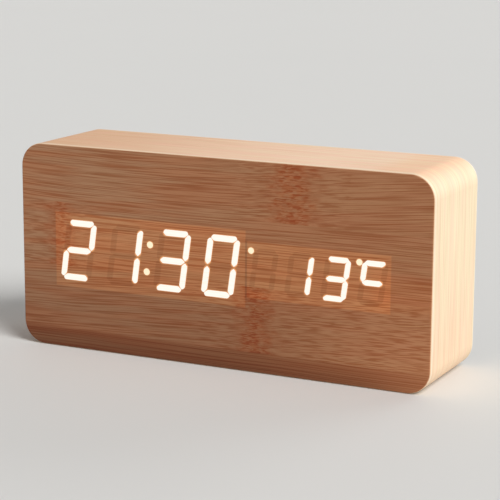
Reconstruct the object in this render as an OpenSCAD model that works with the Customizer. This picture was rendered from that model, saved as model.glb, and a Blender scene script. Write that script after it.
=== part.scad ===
// Wooden digital clock. Slanted LED digits shine through a thin veneer on the front of a hollow wooden case.
// Millimetres. +Z is up, +X is to the right seen from the front, and the front faces -Y.
// The origin is on the table, under the middle of the case.

/* [Case] */
// Width of the case
body_w = 150; // [135:1:190]
// Height of the case
body_h = 70; // [63:1:90]
// Depth of the case, front to back
body_d = 40; // [36:1:60]
// Radius of the four corners
corner_r = 8; // [7:0.5:12]
// Thickness of the case wall
case_wall = 5; // [4:0.5:5.5]
// Width of the ledges that the front board and the rear cover rest on
ledge_w = 2; // [1.5:0.5:3]
// Corner radius of the hollow
pocket_r = 3; // [2:0.5:4]
// Radius of the posts in the corners of the hollow
post_r = 3.75; // [3.5:0.25:4]
// Radius of the eased outer edges
edge_r = 0.5; // [0.2:0.1:0.6]
// Thickness of the front veneer
veneer_t = 0.6; // [0.6:0.1:1]
// Thickness of the board behind the veneer
board_t = 3; // [2.5:0.5:4]

/* [Displays] */
// Drop of the digits' centre line below the middle of the case
digits_drop = 0.7; // [0:0.1:2]
// Centre of the time display, from the middle of the case
time_x = -25.6; // [-28:0.1:-24]
// Width of the time display
time_w = 72.2; // [70:0.1:76]
// Height of the time display
time_h = 25.6; // [24:0.1:27]
// Pitch of the time digits
time_pitch = 18; // [15:0.1:18.4]
// Height of a time digit, between the middles of its top and bottom bars
time_digit_h = 18.8; // [14:0.1:20]
// Width of a time digit, between the middles of its side bars
time_digit_w = 9.7; // [8:0.1:10.5]
// Width of a time segment
time_bar = 2.2; // [1.6:0.1:2.6]
// Height between the two colon dots
colon_h = 9.3; // [6:0.1:12]
// Diameter of a colon dot
colon_d = 2.7; // [2:0.1:3]
// Width of the temperature display
temp_w = 50.3; // [50:0.1:53]
// Height of the temperature display
temp_h = 18.8; // [18:0.1:24]
// Pitch of the temperature digits
temp_pitch = 12.65; // [12:0.05:12.8]
// Height of a temperature digit, between the middles of its top and bottom bars
temp_digit_h = 12.7; // [10:0.1:14]
// Width of a temperature digit, between the middles of its side bars
temp_digit_w = 7; // [5.5:0.1:7.3]
// Width of a temperature segment
temp_bar = 1.9; // [1.4:0.1:2.1]
// Distance of a dot to the left of its digit's middle, at the digit's top
temp_dot_x = 4.6; // [4.4:0.1:4.8]
// Diameter of a dot beside a temperature digit
temp_dot_d = 2.4; // [1.8:0.1:2.6]
// Lean of the digits, in degrees
digit_lean = 8; // [0:0.5:12]
// Gap between two neighbouring segments
bar_gap = 0.4; // [0.2:0.05:0.6]
// Depth of the display modules
module_d = 8; // [6.5:0.5:9]
// Depth of the lit cavities
cavity_d = 5; // [3:0.5:6]
// Gap between the two modules
module_gap = 0.4; // [0.2:0.1:1]

/* [Boards] */
// Thickness of the circuit boards
pcb_t = 1.6; // [1:0.1:2]
// Gap between the display board and the sides of the hollow
display_side_gap = 2; // [1:0.5:5]
// Diameter of the spacers behind the front board
spacer_d = 5; // [4:0.5:6]
// Distance of the spacers from the display board's ends
spacer_inset = 4; // [3.5:0.5:6]
// Gap between the control board and the right side of the hollow
control_side_gap = 1; // [0.5:0.5:2]
// Width of the control board
control_pcb_w = 56; // [55:1:58]
// Height of the control board
control_pcb_h = 38; // [37:1:40]
// Distance of the control board's screws from its edges
control_screw_inset = 3; // [2.5:0.5:4]
// Height of the cover's bosses that carry the control board
boss_h = 6; // [5.5:0.1:6.6]
// Diameter of the cover's bosses
boss_d = 5; // [4:0.5:6]

/* [Rear cover] */
// Thickness of the rear cover
cover_t = 3; // [2.8:0.1:4]
// Depth of the rear cover's face below the back of the case
cover_recess = 0.6; // [0.4:0.1:1.5]
// Distance of the cover's screws from the sides of the case
cover_screw_inset = 7.5; // [7.5:0.1:8]
// Length of the cover's screws under their heads
cover_screw_l = 10; // [7:1:16]
// Height of the cover's locating ribs
rib_h = 3; // [2:0.5:5]

/* [Keys] */
// Column of the keys, from the middle of the control board
key_x = -13; // [-14:0.5:-10]
// Pitch of the keys
key_pitch = 11; // [10:0.5:12]
// Diameter of a key
key_d = 7; // [5:0.5:7.5]
// Diameter of the flange that keeps a key in
key_flange_d = 9; // [8.5:0.5:9.5]
// Height of a key above the rear cover
key_out = 0.3; // [0.2:0.1:0.6]
// Side of a switch housing
switch_w = 6; // [5.5:0.5:7]
// Height of a switch housing
switch_h = 3.6; // [3:0.1:4]
// Diameter of a switch plunger
plunger_d = 3.3; // [2.5:0.1:3.5]
// Height of a plunger above its housing
plunger_out = 1; // [0.8:0.1:1.2]

/* [Battery bay] */
// Gap between the tray and the left side of the hollow
tray_side_gap = 6.6; // [6.5:0.1:8]
// Diameter of a cell
cell_d = 10.5; // [9:0.5:10.5]
// Length of a cell with its button
cell_l = 44.5; // [42:0.5:45]
// Pitch of the cells
cell_pitch = 11; // [10.8:0.1:11.4]
// Room for a contact spring
spring_l = 4; // [3.5:0.5:5]
// Thickness of the tray's walls
tray_wall = 1.5; // [1:0.1:1.8]
// Thickness of the battery door
door_t = 1.8; // [1.4:0.1:2]
// Diameter of the door's hinge edge
barrel_d = 2.4; // [2.2:0.1:2.6]
// Diameter of the door's stub pins
pin_d = 1.2; // [1:0.1:1.4]
// Length of the door's stub pins
pin_l = 1.5; // [1:0.1:2]

/* [Hidden] */
$fn = 48;

// Clearances
fit = 0.15;           // between a board or cover and the case
window_clear = 0.25;  // between a module and its window
glue_clear = 0.05;    // between a light guide and its cavity
hole_clear = 0.1;     // around a screw or pin in its hole
slide_clear = 0.3;    // around a key or plunger
door_gap = 0.3;       // around the battery door
pin_clear = 0.08;     // around a hinge pin
seat_gap = 0.1;       // under a round piece that lies on a flat one
cut = 1;              // by which a cut runs past the face it opens

// Planes across the depth
front_y = -body_d / 2;
back_y = body_d / 2;
veneer_back_y = front_y + veneer_t;
board_back_y = veneer_back_y + board_t;
module_back_y = veneer_back_y + module_d;
display_back_y = module_back_y + pcb_t;
cover_out_y = back_y - cover_recess;
cover_in_y = cover_out_y - cover_t;
control_out_y = cover_in_y - boss_h;
control_in_y = control_out_y - pcb_t;

// Heights
mid_z = body_h / 2;
digits_z = mid_z - digits_drop;

// Case
rebate_w = body_w - 2 * (case_wall - ledge_w);
rebate_h = body_h - 2 * (case_wall - ledge_w);
rebate_r = max(corner_r - case_wall + ledge_w, pocket_r);
pocket_w = body_w - 2 * case_wall;
pocket_h = body_h - 2 * case_wall;
post_x = body_w / 2 - cover_screw_inset;
post_dz = body_h / 2 - cover_screw_inset;

// Screws
screw_d = 2;
screw_head_d = 3.8;
screw_head_h = 1.3;
board_screw_bite = 2;
control_screw_bite = 4.5;
cover_screw_d = 2.6;
cover_screw_head_d = 4.6;
cover_screw_head_h = 1.4;
counterbore_h = 1.6;
counterbore_clear = 0.2;
cross_w = 0.7;
cross_depth = 0.8;
cross_edge = 0.8;

// Display modules
temp_x = time_x + time_w / 2 + module_gap + temp_w / 2;
module_edge_r = 0.6;
row_pins = 6;
lead_pitch = 2.54;
lead_d = 0.6;
lead_out = 1;
lead_row_inset = 2.5;
spacer_gap = 0.7;
spacer_dz = time_h / 2 + spacer_gap + spacer_d / 2;
board_edge = 3;
display_pcb_h = 2 * (spacer_dz + board_edge);
pcb_r = 1.5;
display_pcb_w = pocket_w - 2 * display_side_gap;
spacer_x = display_pcb_w / 2 - spacer_inset;

// Control board
control_x = pocket_w / 2 - control_side_gap - control_pcb_w / 2;
control_screw_x = control_pcb_w / 2 - control_screw_inset;
control_screw_dz = control_pcb_h / 2 - control_screw_inset;
buzzer_at = [13, 8.5];
buzzer_d = 12;
buzzer_h = 5;
buzzer_hole_d = 2;
microphone_at = [0, 9];
microphone_d = 6;
microphone_h = 4;
microphone_hole_d = 1.5;
sensor_at = [0, -9];
sensor_d = 2.4;
sensor_lead_d = 0.5;
sensor_lead_gap = 1.3;
sensor_lead_l = 2.5;
socket_at = [14, -9];
socket_w = 7.8;
socket_h = 3;
socket_wall = 0.3;
socket_r = 0.9;
socket_sunk = 0.4;
socket_clear = 0.4;
tongue_w = 4;
tongue_h = 0.7;
tongue_sunk = 1.5;
tongue_base_t = 2;
controller_at = [5, 0];
controller_w = 7.5;
controller_l = 17.9;
controller_h = 2.3;
controller_side_legs = 14;
driver_w = 3.9;
driver_l = 9.9;
driver_h = 1.5;
driver_side_legs = 8;
chip_leg_pitch = 1.27;
chip_leg_w = 0.4;
chip_leg_t = 0.2;
chip_foot_l = 0.8;
chip_leg_reach = 1.4;
chip_standoff = 0.15;
crystal_at = [19, 8];
crystal_w = 4.6;
crystal_l = 11;
crystal_h = 3.5;
crystal_rim = 0.4;
crystal_rim_h = 0.5;
capacitor_at = [19, -8];
capacitor_d = 6.3;
capacitor_h = 7.5;
capacitor_base = 6.8;
capacitor_base_h = 1;
capacitor_edge = 0.4;

// Connectors and flat cable
connector_w = 6;
connector_l = 22;
connector_h = 4;
ribbon_w = 18;
ribbon_t = 0.9;
ribbon_r = 3;
ribbon_shift = 11;
control_connector_at = -14;
control_connector_x = control_x + control_connector_at;
display_connector_x = control_connector_x - ribbon_shift;

// Cover openings
slot_w = 1.2;
slot_pitch = 2.4;
buzzer_slots = 5;
buzzer_slot_l = 8;
sensor_slots = 3;
sensor_slot_l = 6;
cover_edge = 0.3;
rib_t = 1.5;
rib_l = 40;
rib_clear = 0.4;

// Keys and switches
well_h = 2;
plunger_in = 1;
key_edge = 0.4;
key_dish_r = 9;
key_dish_h = 0.25;
key_bottom_y = control_out_y + switch_h + plunger_out;
key_top_y = cover_out_y + key_out;
key_flange_y = cover_in_y - slide_clear;

// Battery bay
cells = 4;
contact_t = 0.4;
contact_w = 8;
tab_w = 1.2;
tab_out = 1;
tab_shift = 3.5;
tab_clear = 0.2;
cell_nub_d = 3.8;
cell_nub_l = 0.8;
cell_edge = 0.6;
cell_top_gap = 0.4;
hinge_zone = 3.2;
latch_zone = 2.2;
rim_depth = 5;
bay_l = cell_l + spring_l + 2 * contact_t;
bay_h = cells * cell_pitch;
bay_x0 = -pocket_w / 2 + tray_side_gap + tray_wall + hinge_zone;
bay_x1 = bay_x0 + bay_l;
bay_x = (bay_x0 + bay_x1) / 2;
bay_z0 = mid_z - bay_h / 2;
rim_x0 = bay_x0 - hinge_zone;
rim_x1 = bay_x1 + latch_zone;
door_in_y = cover_out_y - door_t;
cell_y = door_in_y - cell_top_gap - cell_d / 2;
bay_floor_y = cell_y - cell_d / 2 - seat_gap;
rim_floor_y = cover_in_y - rim_depth;
hinge_x = rim_x0 + door_gap + barrel_d / 2;
hinge_y = cover_out_y - barrel_d / 2;
pin_hole_spare = 0.3;
hook_t = 1.2;
hook_l = 3.5;
hook_w = 8;
tongue_slot_w = 0.8;
tongue_slot_l = 7;
grip_w = 0.8;
grip_h = 0.3;
grip_pitch = 1.8;
grips = 3;
door_edge = 0.3;
door_rib_t = 1;
door_rib_h = 1.2;
door_rib_inset = 2;
nail_notch_r = 5;
nail_notch_depth = 1.2;
lead_wire_d = 1.2;
lead_y = min(control_in_y - seat_gap - lead_wire_d / 2, cell_y - contact_w / 2 + tab_w / 2);
lead_reach = 3;

// Contact springs
spring_wire = 0.5;
spring_turns = 3;
spring_plate_r = 3.4;
spring_cell_r = 2.2;
rings_per_turn = 8;
wire_sides = 6;

// Places that several pieces share
post_points = [for (x = [-1, 1], z = [-1, 1]) [x * post_x, mid_z + z * post_dz]];
spacer_points = [for (x = [-1, 1], z = [-1, 1]) [x * spacer_x, digits_z + z * spacer_dz]];
control_screw_points = [for (x = [-1, 1], z = [-1, 1]) control_point([x * control_screw_x, z * control_screw_dz])];
module_lead_points = concat(lead_points(time_x, time_h), lead_points(temp_x, temp_h));

function control_point(p) = [control_x + p.x, mid_z + p.y];
function key_z(i) = mid_z + i * key_pitch;
function cell_z(i) = mid_z + (i - (cells - 1) / 2) * cell_pitch;
function cell_side(i) = i % 2 == 0 ? 1 : -1;
function lead_points(x, h) = [
    for (i = [0 : row_pins - 1], side = [-1, 1])
        [x + (i - (row_pins - 1) / 2) * lead_pitch, digits_z + side * (h / 2 - lead_row_inset)]
];

// Seven segments: the middle of each bar in half widths and half heights, and whether it is upright
bars = [
    [0, 1, false], [1, 0.5, true], [1, -0.5, true], [0, -1, false], [-1, -0.5, true], [-1, 0.5, true], [0, 0, false]
];
function lean(p) = [p.x + p.y * tan(digit_lean), p.y];
function bar_outline(l, t) = [
    [-l / 2, 0], [-l / 2 + t / 2, t / 2], [l / 2 - t / 2, t / 2],
    [l / 2, 0], [l / 2 - t / 2, -t / 2], [-l / 2 + t / 2, -t / 2]
];
function placed_bar(bar, w, h, t, inset) =
    let (l = (bar[2] ? h / 2 : w) - bar_gap * sqrt(2) - 2 * inset)
    [for (p = bar_outline(l, t - 2 * inset))
        lean([bar.x * w / 2, bar.y * h / 2] + (bar[2] ? [-p.y, p.x] : p))];

// Drives a front-view outline back along Y, from y over the thickness t
module plate(y, t) {
    translate([0, y + t, 0])
        rotate([90, 0, 0])
            linear_extrude(t)
                children();
}

// A round rod along +Y
module rod(p, y, l, d) {
    translate([p.x, y, p.y])
        rotate([-90, 0, 0])
            cylinder(h = l, d = d);
}

// Turns a piece that stands on the XY plane so that it stands on a wall at y and points to the back
module on_back_of(p, y) {
    translate([p.x, y, p.y])
        rotate([-90, 0, 0])
            children();
}

// The same, pointing to the front
module on_front_of(p, y) {
    translate([p.x, y, p.y])
        rotate([90, 0, 0])
            children();
}

module round_rect(w, h, r) {
    square([w - 2 * r, h], center = true);
    square([w, h - 2 * r], center = true);
    for (x = [-1, 1], y = [-1, 1])
        translate([x * (w / 2 - r), y * (h / 2 - r)])
            circle(r);
}

// Half of a block's section: from its middle line out to reach and over the depth d, with eased outer corners
module eased_section(reach, d, front_e, back_e) {
    intersection() {
        square([reach, d]);
        union() {
            square([reach - max(front_e, back_e), d]);
            translate([0, front_e])
                square([reach, d - front_e - back_e]);
            if (front_e > 0)
                translate([reach - front_e, front_e])
                    circle(front_e);
            if (back_e > 0)
                translate([reach - back_e, d - back_e])
                    circle(back_e);
        }
    }
}

// A block with round corners that stands on z = 0, with its front edge eased at the bottom and its back edge at the top
module eased_block(w, h, r, d, front_e, back_e) {
    for (x = [-1, 1], y = [-1, 1])
        translate([x * (w / 2 - r), y * (h / 2 - r), 0])
            rotate_extrude()
                eased_section(r, d, front_e, back_e);
    for (side = [0, 1]) {
        rotate([90, 0, 90])
            linear_extrude(w - 2 * r, center = true)
                mirror([side, 0])
                    eased_section(h / 2, d, front_e, back_e);
        rotate([90, 0, 0])
            linear_extrude(h - 2 * r, center = true)
                mirror([side, 0])
                    eased_section(w / 2, d, front_e, back_e);
    }
}

// A slot with round ends, upright
module slot(w, l) {
    square([w, l - w], center = true);
    for (y = [-1, 1])
        translate([0, y * (l - w) / 2])
            circle(d = w);
}

module slot_row(count, w, l, pitch) {
    for (i = [0 : count - 1])
        translate([(i - (count - 1) / 2) * pitch, 0])
            slot(w, l);
}

// A pan-head screw: the head stands above z = 0 and the shank hangs below
module screw(d, l, head_d, head_h) {
    difference() {
        union() {
            cylinder(h = head_h, d = head_d);
            translate([0, 0, -l])
                cylinder(h = l, d = d);
        }
        for (turn = [0, 90])
            rotate(turn)
                translate([-head_d / 2 + cross_edge, -cross_w / 2, head_h - cross_depth])
                    cube([head_d - 2 * cross_edge, cross_w, cross_depth + cut]);
    }
}

// A surface-mount chip with gull-wing legs, lying on z = 0
module chip(w, l, h, side_legs) {
    knee = chip_leg_reach - chip_foot_l;
    top = h / 2 + chip_leg_t;
    translate([-w / 2, -l / 2, chip_standoff])
        cube([w, l, h]);
    for (side = [0, 1], i = [0 : side_legs - 1])
        mirror([side, 0, 0])
            translate([w / 2, (i - (side_legs - 1) / 2) * chip_leg_pitch + chip_leg_w / 2, 0])
                rotate([90, 0, 0])
                    linear_extrude(chip_leg_w)
                        polygon([
                            [knee, 0], [chip_leg_reach, 0], [chip_leg_reach, chip_leg_t],
                            [knee + chip_leg_t, chip_leg_t], [knee + chip_leg_t, top],
                            [-chip_leg_t, top], [-chip_leg_t, h / 2], [knee, h / 2]
                        ]);
}

// All segments of a row of digits, as front-view outlines
module digit_row(digits, pitch, w, h, t, inset) {
    for (i = [0 : digits - 1])
        translate([(i - (digits - 1) / 2) * pitch, 0])
            for (bar = bars)
                polygon(placed_bar(bar, w, h, t, inset));
}

module time_lights(inset) {
    translate([time_x, digits_z]) {
        digit_row(4, time_pitch, time_digit_w, time_digit_h, time_bar, inset);
        for (side = [-1, 1])
            translate(lean([0, side * colon_h / 2]))
                circle(d = colon_d - 2 * inset);
    }
}

module temp_lights(inset) {
    translate([temp_x, digits_z]) {
        digit_row(4, temp_pitch, temp_digit_w, temp_digit_h, temp_bar, inset);
        for (side = [-1, 1])
            translate([side * 1.5 * temp_pitch - temp_dot_x, temp_digit_h / 2])
                circle(d = temp_dot_d - 2 * inset);
    }
}

module pocket_outline() {
    difference() {
        translate([0, mid_z])
            round_rect(pocket_w, pocket_h, pocket_r);
        for (p = post_points)
            translate(p)
                circle(post_r);
    }
}

module case_ring() {
    color("burlywood")
        difference() {
            on_back_of([0, mid_z], veneer_back_y)
                eased_block(body_w, body_h, corner_r, back_y - veneer_back_y, 0, edge_r);
            plate(veneer_back_y - cut, back_y - veneer_back_y + 2 * cut)
                pocket_outline();
            plate(veneer_back_y - cut, board_t + cut)
                translate([0, mid_z])
                    round_rect(rebate_w, rebate_h, rebate_r);
            plate(cover_in_y, cover_t + cover_recess + cut)
                translate([0, mid_z])
                    round_rect(rebate_w, rebate_h, rebate_r);
            for (p = post_points)
                rod(p, cover_in_y - cover_screw_l, cover_screw_l + cut, cover_screw_d + 2 * hole_clear);
        }
}

module front_veneer() {
    color("sienna")
        on_back_of([0, mid_z], front_y)
            eased_block(body_w, body_h, corner_r, veneer_t, edge_r, 0);
}

module front_board() {
    color("tan")
        difference() {
            plate(veneer_back_y, board_t)
                difference() {
                    translate([0, mid_z])
                        round_rect(rebate_w - 2 * fit, rebate_h - 2 * fit, rebate_r - fit);
                    translate([time_x, digits_z])
                        square([time_w + 2 * window_clear, time_h + 2 * window_clear], center = true);
                    translate([temp_x, digits_z])
                        square([temp_w + 2 * window_clear, temp_h + 2 * window_clear], center = true);
                }
            for (p = spacer_points)
                rod(p, board_back_y - board_screw_bite, board_screw_bite + cut, screw_d + 2 * hole_clear);
        }
}

module display_shell(x, w, h) {
    plate(veneer_back_y, module_d)
        translate([x, digits_z])
            round_rect(w, h, module_edge_r);
}

module time_display_shell() {
    color("whitesmoke")
        difference() {
            display_shell(time_x, time_w, time_h);
            plate(veneer_back_y - cut, cavity_d + cut)
                time_lights(0);
        }
}

module time_display_segments() {
    color("lightyellow")
        plate(veneer_back_y, cavity_d)
            time_lights(glue_clear);
}

module temp_display_shell() {
    color("whitesmoke")
        difference() {
            display_shell(temp_x, temp_w, temp_h);
            plate(veneer_back_y - cut, cavity_d + cut)
                temp_lights(0);
        }
}

module temp_display_segments() {
    color("lightyellow")
        plate(veneer_back_y, cavity_d)
            temp_lights(glue_clear);
}

module display_pins() {
    color("silver")
        for (p = module_lead_points)
            rod(p, module_back_y, pcb_t + lead_out, lead_d);
}

module display_pcb() {
    color("darkgreen")
        plate(module_back_y, pcb_t)
            difference() {
                translate([0, digits_z])
                    round_rect(display_pcb_w, display_pcb_h, pcb_r);
                for (p = spacer_points)
                    translate(p)
                        circle(d = screw_d + 2 * hole_clear);
                for (p = module_lead_points)
                    translate(p)
                        circle(d = lead_d + 2 * hole_clear);
            }
}

module display_spacers() {
    color("gold")
        for (p = spacer_points)
            plate(board_back_y, module_back_y - board_back_y)
                translate(p)
                    difference() {
                        circle(d = spacer_d);
                        circle(d = screw_d + 2 * hole_clear);
                    }
}

module display_screws() {
    color("silver")
        for (p = spacer_points)
            on_back_of(p, display_back_y)
                screw(screw_d, display_back_y - board_back_y + board_screw_bite, screw_head_d, screw_head_h);
}

module display_driver_chips() {
    color("dimgray")
        for (x = [time_x, temp_x])
            on_back_of([x, digits_z], display_back_y)
                rotate(90)
                    chip(driver_w, driver_l, driver_h, driver_side_legs);
}

// A box header with a slot for the flat cable, standing on z = 0
module connector() {
    difference() {
        translate([-connector_w / 2, -connector_l / 2, 0])
            cube([connector_w, connector_l, connector_h]);
        translate([-ribbon_t / 2 - hole_clear, -ribbon_w / 2 - hole_clear, connector_h / 2])
            cube([ribbon_t + 2 * hole_clear, ribbon_w + 2 * hole_clear, connector_h / 2 + cut]);
    }
}

module display_connector() {
    color("ivory")
        on_back_of([display_connector_x, digits_z], display_back_y)
            connector();
}

module control_connector() {
    color("ivory")
        on_front_of([control_connector_x, digits_z], control_in_y)
            connector();
}

// A quarter bend of the flat cable around the origin, from +X round to +Y
module ribbon_bend() {
    rotate_extrude(angle = 90)
        translate([ribbon_r - ribbon_t / 2, 0])
            square([ribbon_t, ribbon_w]);
}

module ribbon_cable() {
    start_y = display_back_y + connector_h / 2;
    end_y = control_in_y - connector_h / 2;
    turn_y = (start_y + end_y) / 2;
    run = control_connector_x - display_connector_x - 2 * ribbon_r;
    color("lightgray")
        translate([display_connector_x, 0, digits_z - ribbon_w / 2]) {
            translate([-ribbon_t / 2, start_y, 0])
                cube([ribbon_t, turn_y - ribbon_r - start_y, ribbon_w]);
            translate([ribbon_r, turn_y - ribbon_r, 0])
                rotate(90)
                    ribbon_bend();
            translate([ribbon_r, turn_y - ribbon_t / 2, 0])
                cube([run, ribbon_t, ribbon_w]);
            translate([ribbon_r + run, turn_y + ribbon_r, 0])
                rotate(-90)
                    ribbon_bend();
            translate([2 * ribbon_r + run - ribbon_t / 2, turn_y + ribbon_r, 0])
                cube([ribbon_t, end_y - turn_y - ribbon_r, ribbon_w]);
        }
}

module control_pcb() {
    color("seagreen")
        plate(control_in_y, pcb_t)
            difference() {
                translate([control_x, mid_z])
                    round_rect(control_pcb_w, control_pcb_h, pcb_r);
                for (p = control_screw_points)
                    translate(p)
                        circle(d = screw_d + 2 * hole_clear);
            }
}

module control_pcb_screws() {
    color("silver")
        for (p = control_screw_points)
            on_front_of(p, control_in_y)
                screw(screw_d, pcb_t + control_screw_bite, screw_head_d, screw_head_h);
}

module controller_chip() {
    color("dimgray")
        on_front_of(control_point(controller_at), control_in_y)
            chip(controller_w, controller_l, controller_h, controller_side_legs);
}

module clock_crystal() {
    color("silver")
        on_front_of(control_point(crystal_at), control_in_y) {
            linear_extrude(crystal_rim_h)
                slot(crystal_w + 2 * crystal_rim, crystal_l + 2 * crystal_rim);
            linear_extrude(crystal_h)
                slot(crystal_w, crystal_l);
        }
}

module smoothing_capacitor() {
    color("slategray")
        on_front_of(control_point(capacitor_at), control_in_y) {
            translate([-capacitor_base / 2, -capacitor_base / 2, 0])
                cube([capacitor_base, capacitor_base, capacitor_base_h]);
            rotate_extrude()
                polygon([
                    [0, 0], [capacitor_d / 2, 0], [capacitor_d / 2, capacitor_h - capacitor_edge],
                    [capacitor_d / 2 - capacitor_edge, capacitor_h], [0, capacitor_h]
                ]);
        }
}

module buzzer() {
    color("black")
        on_back_of(control_point(buzzer_at), control_out_y)
            difference() {
                cylinder(h = buzzer_h, d = buzzer_d);
                translate([0, 0, buzzer_h / 2])
                    cylinder(h = buzzer_h / 2 + cut, d = buzzer_hole_d);
            }
}

module microphone() {
    color("silver")
        on_back_of(control_point(microphone_at), control_out_y)
            difference() {
                cylinder(h = microphone_h, d = microphone_d);
                translate([0, 0, microphone_h / 2])
                    cylinder(h = microphone_h / 2 + cut, d = microphone_hole_d);
            }
}

module temperature_sensor() {
    color("saddlebrown")
        on_back_of(control_point(sensor_at), control_out_y) {
            for (side = [-1, 1])
                translate([side * sensor_lead_gap / 2, 0, 0])
                    cylinder(h = sensor_lead_l, d = sensor_lead_d);
            translate([0, 0, sensor_lead_l])
                sphere(d = sensor_d);
        }
}

module power_socket_shell() {
    color("silver")
        plate(control_out_y, cover_out_y - socket_sunk - control_out_y)
            translate(control_point(socket_at))
                difference() {
                    round_rect(socket_w, socket_h, socket_r);
                    round_rect(socket_w - 2 * socket_wall, socket_h - 2 * socket_wall, socket_r - socket_wall);
                }
}

module power_socket_tongue() {
    base_w = socket_w - 2 * socket_wall - 2 * hole_clear;
    base_h = socket_h - 2 * socket_wall - 2 * hole_clear;
    color("black") {
        plate(control_out_y, tongue_base_t)
            translate(control_point(socket_at))
                square([base_w - socket_r, base_h], center = true);
        plate(control_out_y, cover_out_y - socket_sunk - tongue_sunk - control_out_y)
            translate(control_point(socket_at))
                square([tongue_w, tongue_h], center = true);
    }
}

module switch_housings() {
    color("dimgray")
        for (i = [-1 : 1])
            on_back_of([control_x + key_x, key_z(i)], control_out_y)
                difference() {
                    translate([-switch_w / 2, -switch_w / 2, 0])
                        cube([switch_w, switch_w, switch_h]);
                    translate([0, 0, switch_h - well_h])
                        cylinder(h = well_h + cut, d = plunger_d + 2 * slide_clear);
                }
}

module plunger(i) {
    color("white")
        rod([control_x + key_x, key_z(i)], key_bottom_y - plunger_out - plunger_in, plunger_out + plunger_in, plunger_d);
}

// A round key with a dished top, a chamfered rim and a flange behind the cover
module key(i) {
    flange_h = key_flange_y - key_bottom_y;
    key_h = key_top_y - key_bottom_y;
    color("dimgray")
        on_back_of([control_x + key_x, key_z(i)], key_bottom_y)
            difference() {
                rotate_extrude()
                    polygon([
                        [0, 0], [key_flange_d / 2, 0], [key_flange_d / 2, flange_h], [key_d / 2, flange_h],
                        [key_d / 2, key_h - key_edge], [key_d / 2 - key_edge, key_h], [0, key_h]
                    ]);
                translate([0, 0, key_h - key_dish_h + key_dish_r])
                    sphere(key_dish_r);
            }
}

module mode_button() {
    key(1);
}

module up_button() {
    key(0);
}

module down_button() {
    key(-1);
}

module mode_plunger() {
    plunger(1);
}

module up_plunger() {
    plunger(0);
}

module down_plunger() {
    plunger(-1);
}

// Every opening that goes right through the cover
module cover_openings() {
    translate([rim_x0, bay_z0])
        square([rim_x1 - rim_x0, bay_h]);
    for (i = [-1 : 1])
        translate([control_x + key_x, key_z(i)])
            circle(d = key_d + 2 * slide_clear);
    translate(control_point(socket_at))
        round_rect(socket_w + 2 * socket_clear, socket_h + 2 * socket_clear, socket_r + socket_clear);
    translate(control_point(microphone_at))
        circle(d = microphone_hole_d);
    translate(control_point(buzzer_at))
        slot_row(buzzer_slots, slot_w, buzzer_slot_l, slot_pitch);
    translate(control_point(sensor_at))
        slot_row(sensor_slots, slot_w, sensor_slot_l, slot_pitch);
    for (p = post_points)
        translate(p)
            circle(d = cover_screw_d + 2 * hole_clear);
}

module rear_cover() {
    color("dimgray")
        difference() {
            union() {
                difference() {
                    on_back_of([0, mid_z], cover_in_y)
                        eased_block(
                            rebate_w - 2 * fit, rebate_h - 2 * fit, rebate_r - fit, cover_t, 0, cover_edge
                        );
                    plate(cover_in_y - cut, cover_t + 2 * cut)
                        cover_openings();
                }
                for (p = control_screw_points)
                    rod(p, control_out_y, boss_h, boss_d);
                for (side = [-1, 1])
                    translate([
                        -rib_l / 2 + control_x,
                        cover_in_y - rib_h,
                        mid_z + side * (pocket_h / 2 - rib_clear - rib_t / 2) - rib_t / 2
                    ])
                        cube([rib_l, rib_h, rib_t]);
            }
            for (p = post_points)
                rod(p, cover_out_y - counterbore_h, counterbore_h + cut, cover_screw_head_d + 2 * counterbore_clear);
            for (p = control_screw_points)
                rod(p, control_out_y - cut, control_screw_bite + cut, screw_d + 2 * hole_clear);
            translate([hinge_x, hinge_y, bay_z0 - pin_l - pin_hole_spare])
                cylinder(h = bay_h + 2 * (pin_l + pin_hole_spare), d = pin_d + 2 * pin_clear);
            rod([rim_x1, mid_z], cover_out_y - nail_notch_depth, nail_notch_depth + cut, 2 * nail_notch_r);
        }
}

module rear_cover_screws() {
    color("silver")
        for (p = post_points)
            on_back_of(p, cover_out_y - counterbore_h)
                screw(cover_screw_d, cover_screw_l, cover_screw_head_d, cover_screw_head_h);
}

module battery_tray() {
    color("dimgray")
        difference() {
            union() {
                translate([bay_x0 - tray_wall, bay_floor_y - tray_wall, bay_z0 - tray_wall])
                    cube([bay_l + 2 * tray_wall, cover_in_y - bay_floor_y + tray_wall, bay_h + 2 * tray_wall]);
                translate([rim_x0 - tray_wall, rim_floor_y - tray_wall, bay_z0 - tray_wall])
                    cube([rim_x1 - rim_x0 + 2 * tray_wall, rim_depth + tray_wall, bay_h + 2 * tray_wall]);
            }
            translate([bay_x0, bay_floor_y, bay_z0])
                cube([bay_l, cover_in_y - bay_floor_y + cut, bay_h]);
            translate([rim_x0, rim_floor_y, bay_z0])
                cube([rim_x1 - rim_x0, rim_depth + cut, bay_h]);
            for (i = [0, cells - 1])
                translate([bay_x1 - cut, lead_y - tab_w / 2 - tab_clear, tab_z(i) - contact_t / 2 - tab_clear])
                    cube([tray_wall + 2 * cut, tab_w + 2 * tab_clear, contact_t + 2 * tab_clear]);
        }
}

function tab_z(i) = cell_z(i) + (i == 0 ? tab_shift : -tab_shift);

// A contact plate against the bay's end wall at x, behind the cells from first to last, from low_y upwards
module contact_plate(x, first, last, low_y) {
    translate([x, low_y, cell_z(first) - contact_w / 2])
        cube([contact_t, cell_y + contact_w / 2 - low_y, cell_z(last) - cell_z(first) + contact_w]);
}

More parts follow.
